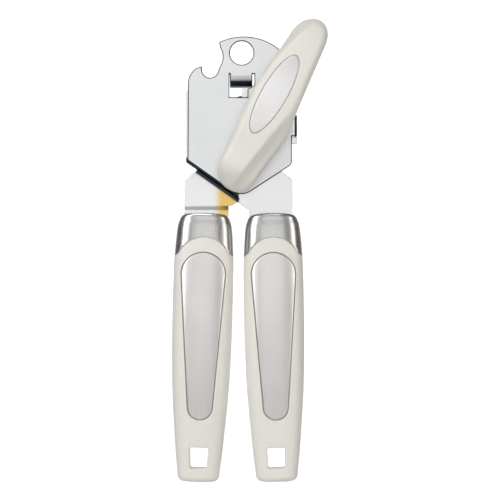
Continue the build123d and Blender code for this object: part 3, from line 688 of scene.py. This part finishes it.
def make_ferrule(handle):
    """The steel ferrule: a rolled mouth, a scalloped lower edge and its thickness inside."""
    edge = ferrule_edge(handle)
    loops = []
    # the rolled mouth, from its inner edge outwards: inset and drop in mm, share of the dome
    for inset, drop, dome in ((4.125, 1.6, 0.6), (2.25, 0.9, 0.6), (1.125, 0.25, 1), (0.675, 0.02, 1),
                              (0.4125, -0.03, 1)):
        loop = handle.ring(np.full(RING, FERRULE_MOUTH), inset * MM)
        loop[:, 2] += MOUTH_DOME * dome - drop * MM
        loops.append(loop)
    # the outside, where the dome fades out
    for s in MM * np.array((0.0, 0.12, 0.3, 0.55, 0.9, 1.4, 2.0, 2.8, 3.8, 5.0, 6.4)):
        loop = handle.ring(np.full(RING, FERRULE_MOUTH + s), -FERRULE_PROUD * min(1, s / FERRULE_SWELL))
        loop[:, 2] += MOUTH_DOME * max(0, 1 - s / FERRULE_ROLL) ** 1.6
        loops.append(loop)
    start = FERRULE_MOUTH + FERRULE_ROLL
    run = edge - start - 0.12 * MM
    rows = [(start + run * share, -FERRULE_PROUD) for share in np.linspace(0, 1, 9)[1:]]
    # the edge, and back up the inside
    rows += [(edge - 0.05 * MM, 0.03 * MM - FERRULE_PROUD), (edge, 0.10 * MM - FERRULE_PROUD),
             (edge, FERRULE_T - 0.02 * MM)]
    rows += [(np.maximum(edge * share, 3 * MM), FERRULE_T) for share in (0.8, 0.5, 0.2)]
    loops += [handle.ring(s, inset) for s, inset in rows]
    ferrule = loops_object(f"{handle.side}_ferrule_shell", loops, 50, cap_ends=True)
    dress(ferrule, FERRULE)
    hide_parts(f"{handle.side}_ferrule")
    return ferrule


for side in BODY_OF_SIDE:
    handle = Handle(side)
    for make in (make_grip, make_inlay, make_ferrule):
        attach(make(handle), BODY_OF_SIDE[side])


# ------------------------------------------------------------------ turning knob
KNOB_TILT = math.radians(24.5)
KNOB_BACK_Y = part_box("knob")[1].y
KNOB_ENDS = (-43.0 * MM, 43.15 * MM)
KNOB_ROUND_FROM = (-32.0 * MM, 30.5 * MM)     # where the rounding of each end starts
KNOB_END_POWER = 2.25                         # roundness of the ends' outline
# distance along the knob, middle of its width, width, y of the front face
KNOB_FORM = MM * np.array([
    (-43.0, -2.9, 15.6, -12.0), (-39.5, -3.6, 17.0, -15.9), (-35.5, -3.8, 17.8, -20.3),
    (-34.4, -3.8, 18.0, -21.05), (-25.0, -2.8, 19.5, -22.8), (-10.0, -1.4, 22.3, -24.9),
    (5.0, -1.3, 21.6, -25.6), (20.0, -0.2, 18.7, -24.4), (31.0, 0.55, 16.6, -21.8),
    (38.5, 1.05, 14.5, -18.2), (42.6, 1.3, 13.0, -15.2),
])
KNOB_CROWN = 0.5 * MM                         # how much lower the front is at its sides
KNOB_EDGE_R, KNOB_BACK_R = 3.4 * MM, 1.6 * MM
BADGE_CENTRE = (3.5 * MM, -2.6 * MM)          # along and across the knob
BADGE_HALF = (19.9 * MM, 5.8 * MM)            # the pocket's half axes
BADGE_TURN = math.radians(5.5)
BADGE_GAP, BADGE_SUNK, BADGE_BOTTOM = 0.27 * MM, 0.08 * MM, 0.85 * MM
BADGE_POCKET = 1.1 * MM                       # depth of its pocket
BADGE_POCKET_RIM, BADGE_RIM = 0.28 * MM, 0.20 * MM
# the two thumb scoops: a point on the line where the knob's front falls away, its slope, and the depth
RIGHT_SCOOP_AT, RIGHT_SCOOP_SLOPE, RIGHT_SCOOP_DEPTH = (-3.8 * MM, 8.3 * MM), 0.26, 4.6 * MM
LEFT_SCOOP_AT, LEFT_SCOOP_SLOPE, LEFT_SCOOP_DEPTH = (21 * MM, -9.2 * MM), 0.40, 3.4 * MM
ALONG = Vector((math.sin(KNOB_TILT), 0, math.cos(KNOB_TILT)))
ACROSS = Vector((math.cos(KNOB_TILT), 0, -math.sin(KNOB_TILT)))


def through(x, xs, ys):
    """Smooth curve through points (cubic Hermite), level beyond its ends."""
    x = np.clip(np.asarray(x, float), xs[0], xs[-1])
    slopes = np.gradient(ys, xs)
    k = np.clip(np.searchsorted(xs, x, side="right") - 1, 0, len(xs) - 2)
    h = xs[k + 1] - xs[k]
    t = (x - xs[k]) / h
    return ((2 * t**3 - 3 * t**2 + 1) * ys[k] + (t**3 - 2 * t**2 + t) * h * slopes[k]
            + (-2 * t**3 + 3 * t**2) * ys[k + 1] + (t**3 - t**2) * h * slopes[k + 1])


def knob_middle(a):
    """b of the middle of the knob's width at a along it."""
    return through(a, KNOB_FORM[:, 0], KNOB_FORM[:, 1])


def knob_half(a):
    """Half the knob's width at a along it."""
    return through(a, KNOB_FORM[:, 0], KNOB_FORM[:, 2]) / 2


def knob_front(a, b):
    """y of the knob's front face at a along it and b across, before its edges are rounded."""
    y = through(a, KNOB_FORM[:, 0], KNOB_FORM[:, 3]) + KNOB_CROWN * ((b - knob_middle(a)) / knob_half(a)) ** 2
    # thumb scoop on the right of the lower wing: a valley from the right edge down to the middle
    line = RIGHT_SCOOP_AT[1] + RIGHT_SCOOP_SLOPE * (a - RIGHT_SCOOP_AT[0])
    depth = RIGHT_SCOOP_DEPTH * smooth(-5 * MM, 16 * MM, -a) * (1 - 0.35 * smooth(35 * MM, 43 * MM, -a))
    y = y + depth * smooth(line - 2.6 * MM, line + 1.6 * MM, b)
    y = y - 0.35 * depth * smooth(line + 1.4 * MM, line + 6.0 * MM, b)
    # its counterpart on the left of the upper wing, shallower
    line = LEFT_SCOOP_AT[1] + LEFT_SCOOP_SLOPE * (a - LEFT_SCOOP_AT[0])
    depth = LEFT_SCOOP_DEPTH * smooth(5 * MM, 24 * MM, a)
    return y + depth * smooth(-1.6 * MM, 2.4 * MM, line - b)


def knob_place(a, b, y):
    """Points at a along the knob, b across it and y in the frame."""
    point = np.array((SHAFT.x, 0, SHAFT.z))[None] + np.outer(a, ALONG) + np.outer(b, ACROSS)
    point[:, 1] = y
    return point


def knob_end(start, tip, angles):
    """Half of a superellipse from one side of the knob round its tip to the other: a and b."""
    power = 2 / KNOB_END_POWER
    a = start + (tip - start) * np.abs(np.sin(angles)) ** power
    side = np.sign(np.cos(angles)) * np.abs(np.cos(angles)) ** power
    return a, knob_middle(a) + side * knob_half(start)


def knob_outline():
    """The knob's outline, as a, b and the a of the spine point that each belongs to."""
    low, high = KNOB_ROUND_FROM
    run = np.linspace(low, high, 70)
    half_turn = np.linspace(0, math.pi, 34)
    top_a, top_b = knob_end(high, KNOB_ENDS[1], half_turn)
    low_a, low_b = knob_end(low, KNOB_ENDS[0], half_turn[::-1])
    middle, half = knob_middle(run), knob_half(run)
    a = np.concatenate([run, top_a[1:-1], run[::-1], low_a[1:-1]])
    b = np.concatenate([middle + half, top_b[1:-1], (middle - half)[::-1], low_b[1:-1]])
    return a, b, np.clip(a, low, high)


def knob_loop(outline, share):
    """The outline drawn in towards the knob's spine to a share of its size."""
    a, b, spine = outline
    middle = knob_middle(spine)
    return spine + (a - spine) * share, middle + (b - middle) * share


def make_knob():
    """The knob as loops from its spine over the front, the rounded edge and the back."""
    outline = knob_outline()
    a, b, spine = outline
    reach = np.hypot(a - spine, b - knob_middle(spine))
    radius = np.minimum(KNOB_EDGE_R, 0.52 * (KNOB_BACK_Y - knob_front(a, b)))

    def front_loop(inset):
        p, q = knob_loop(outline, np.clip(1 - inset / reach, 0, 1))
        rounding = radius - np.sqrt(np.maximum(radius**2 - (radius - inset) ** 2, 0))
        return knob_place(p, q, knob_front(p, q) + np.where(inset < radius, rounding, 0))

    loops = [front_loop(reach - (reach - radius) * share) for share in np.linspace(0, 1, 13)[:-1]]
    loops += [front_loop(radius * (1 - math.sin(turn))) for turn in np.radians(np.linspace(0, 90, 15))]
    top, bottom = knob_front(a, b) + radius, KNOB_BACK_Y - KNOB_BACK_R
    loops += [knob_place(a, b, top + (bottom - top) * share) for share in (0.35, 0.7, 1.0)]
    for turn in np.radians(np.linspace(0, 90, 6)[1:]):
        p, q = knob_loop(outline, 1 - KNOB_BACK_R * (1 - math.cos(turn)) / reach)
        loops.append(knob_place(p, q, bottom + KNOB_BACK_R * math.sin(turn)))
    loops += [knob_place(*knob_loop(outline, share), KNOB_BACK_Y) for share in (0.8, 0.6, 0.4, 0.2, 0.0)]
    knob = loops_object("knob_body", loops, 42)
    rim = rim_profile(BADGE_POCKET_RIM)
    pocket = badge_solid("badge_cutter", 0, -POCKET_CLEAR, BADGE_POCKET, rim, True)
    cut(knob, pocket, 38)
    dress(knob, CREAM)
    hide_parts("knob")
    return knob


def badge_loop(share, grow):
    """The badge's oval, widened by grow and then scaled to a share: a and b."""
    t = np.linspace(0, 2 * math.pi, 120, endpoint=False)
    u = (BADGE_HALF[0] + grow) * np.cos(t) * share
    v = (BADGE_HALF[1] + grow) * np.sin(t) * share
    a = BADGE_CENTRE[0] + u * math.cos(BADGE_TURN) - v * math.sin(BADGE_TURN)
    b = BADGE_CENTRE[1] + u * math.sin(BADGE_TURN) + v * math.cos(BADGE_TURN)
    return a, b


def badge_solid(name, grow, top, bottom, rim, outwards):
    """Oval solid that follows the knob's front, from depth top to depth bottom.

    Its rim widens outwards towards the surface, as a pocket's does, or is rounded inwards.
    """
    def at(share, extra, depth):
        a, b = badge_loop(share, grow + extra)
        return knob_place(a, b, knob_front(a, b) + depth)

    widest = rim[0][0]
    loops = [at(f, widest if outwards else 0, top) for f in (0.001, 0.25, 0.5, 0.75, 0.92)]
    if outwards:
        loops.append(at(1, widest, top))
        loops += [at(1, out, depth) for out, depth in rim]
    else:
        loops += [at(1, -out, top + depth) for out, depth in rim]
    loops += [at(f, 0, bottom) for f in (1, 0.9, 0.6, 0.3, 0.001)]
    return loops_object(name, loops, 40, cap_ends=True)


def make_badge():
    """The oval satin plate in the knob's crown."""
    rim = rim_profile(BADGE_RIM)
    badge = badge_solid("knob_badge_plate", -BADGE_GAP, BADGE_SUNK, BADGE_BOTTOM, rim, False)
    dress(badge, BADGE)
    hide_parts("knob_badge")
    return badge


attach(make_knob(), "drive")
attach(make_badge(), "drive")


# ------------------------------------------------------------------ stage, light and camera
SUBJECT = Vector((3.0, 0, -90.0)) * MM        # what most of the lights point at
VIEW_CENTRE = Vector((3.8, 0, -89.9)) * MM    # what the camera points at


def emitter(name, location, target, size, power, color=WHITE):
    """A rectangular softbox at a place, turned towards a target."""
    light = bpy.data.lights.new(name, "AREA")
    light.shape = "RECTANGLE"
    light.size, light.size_y = size
    light.energy = power
    light.color = color
    obj = bpy.data.objects.new(name, light)
    bpy.context.scene.collection.objects.link(obj)
    obj.location = location
    obj.rotation_euler = (Vector(target) - Vector(location)).to_track_quat("-Z", "Y").to_euler()


def build_stage():
    """A pale floor that sweeps up into a backdrop well behind the object."""
    front, back, wide, bend, low, high = -1.8, 1.5, 3.2, 0.6, cad_low.z - 0.26, 2.2
    sweep = np.linspace(0, math.pi / 2, 16)[1:]
    profile = [(front, low), (back - bend, low)]
    profile += [(back - bend + bend * math.sin(a), low + bend - bend * math.cos(a)) for a in sweep]
    profile.append((back, high))
    verts = [(x, y, z) for x in (-wide, wide) for y, z in profile]
    count = len(profile)
    faces = [(i, i + 1, count + i + 1, count + i) for i in range(count - 1)]
    floor = mesh_object("floor", verts, faces)
    n = Nodes("pale_floor")
    n.set(Roughness=0.85)
    tone = n.ramp(n.noise(6.0), [(0.3, (0.90, 0.90, 0.90)), (0.7, (0.93, 0.93, 0.93))])
    n.link(tone, n.shader.inputs["Base Color"])
    dress(floor, n.material)


def build_camera():
    """A level camera straight in front, with a long lens."""
    distance, frame_width = 0.90, 0.228
    camera = bpy.data.cameras.new("camera")
    camera.sensor_width = 36
    camera.lens = camera.sensor_width * distance / frame_width
    camera.clip_start, camera.clip_end = 0.05, 20
    obj = bpy.data.objects.new("camera", camera)
    bpy.context.scene.collection.objects.link(obj)
    obj.location = VIEW_CENTRE + Vector((0, -distance, 0))
    obj.rotation_euler = (math.pi / 2, 0, 0)
    bpy.context.scene.camera = obj


def build_world():
    """A dim studio: lightest in front of the object and behind it, darker round it."""
    world = bpy.data.worlds.new("studio")
    bpy.context.scene.world = world
    world.use_nodes = True
    tree = world.node_tree
    coords = tree.nodes.new("ShaderNodeTexCoord")
    split = tree.nodes.new("ShaderNodeSeparateXYZ")
    ramp = tree.nodes.new("ShaderNodeValToRGB")
    spread = tree.nodes.new("ShaderNodeMapRange")
    spread.inputs["From Min"].default_value = -1
    tree.links.new(coords.outputs["Generated"], split.inputs["Vector"])
    tree.links.new(split.outputs["Y"], spread.inputs["Value"])
    tree.links.new(spread.outputs["Result"], ramp.inputs["Fac"])
    tree.links.new(ramp.outputs["Color"], tree.nodes["Background"].inputs["Color"])
    stops = [(0.0, 0.30), (0.12, 0.26), (0.30, 0.12), (0.55, 0.14), (1.0, 0.40)]
    elements = ramp.color_ramp.elements
    while len(elements) < len(stops):
        elements.new(0.5)
    for element, (position, value) in zip(elements, stops):
        element.position = position
        element.color = (value, value, value * 1.02, 1)


build_stage()
build_camera()
build_world()
emitter("key", (-0.75, -0.80, 0.35), SUBJECT, (0.36, 0.9), 5.7)
emitter("fill", (0.85, -0.75, 0.05), SUBJECT, (0.34, 0.9), 2.9, (1.0, 0.96, 0.90))
emitter("front", (0.0, -1.7, 0.22), (0, 0, 0.22), (0.9, 1.1), 3.0)
emitter("top", (-0.15, -0.55, 0.85), SUBJECT, (0.6, 0.4), 2.6)
# the backdrop's own lights stand behind the object and point away from it
emitter("backdrop_top", (0, 0.75, 0.62), (0, 1.5, 0.10), (0.9, 0.25), 5.9)
emitter("backdrop_low", (0, 0.75, -0.40), (0, 1.5, -0.15), (0.9, 0.08), 3.2)
bpy.context.scene.view_settings.view_transform = "Standard"
